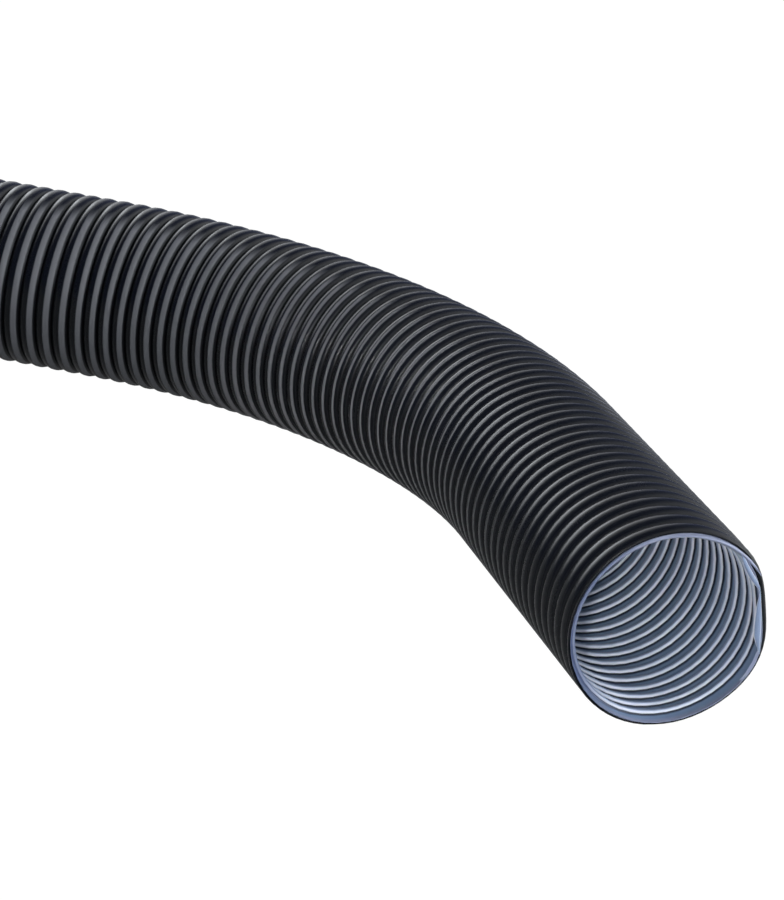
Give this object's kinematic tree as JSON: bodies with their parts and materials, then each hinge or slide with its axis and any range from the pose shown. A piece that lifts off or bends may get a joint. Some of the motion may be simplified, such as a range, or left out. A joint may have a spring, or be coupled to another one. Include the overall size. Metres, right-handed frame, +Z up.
{
  "type": "vacuum hose",
  "caption": "Flexible ribbed suction hose, cut square at both ends, with a smooth bore, a helix of wire in its wall and a gentle bend.",
  "frame": {"origin": "centre of the bore on the cut face of the mouth", "axes": "-Y out of the mouth along the bore, +Z up from the floor that the hose lies on, and the hose bends towards -X"},
  "size_m": [0.4286, 0.697, 0.1121],
  "materials": {
    "cover": "satin",
    "wire": "drawn",
    "liner": "glossy"
  },
  "bodies": {
    "mouth_end": {"cover_mouth": "cover", "wire_mouth": "wire", "liner_mouth": "liner", "cover_bend": "cover", "wire_bend": "wire", "liner_bend": "liner"},
    "feed_end": {"cover_feed": "cover", "wire_feed": "wire", "liner_feed": "liner"}
  },
  "joints": [
    {"name": "bend", "type": "hinge", "parent": "mouth_end", "child": "feed_end", "pos_m": [0, 0.43684, 0], "axis": [0, 0, 1], "range_deg": [-58, 16], "deforming": ["cover_bend", "wire_bend", "liner_bend"]}
  ]
}
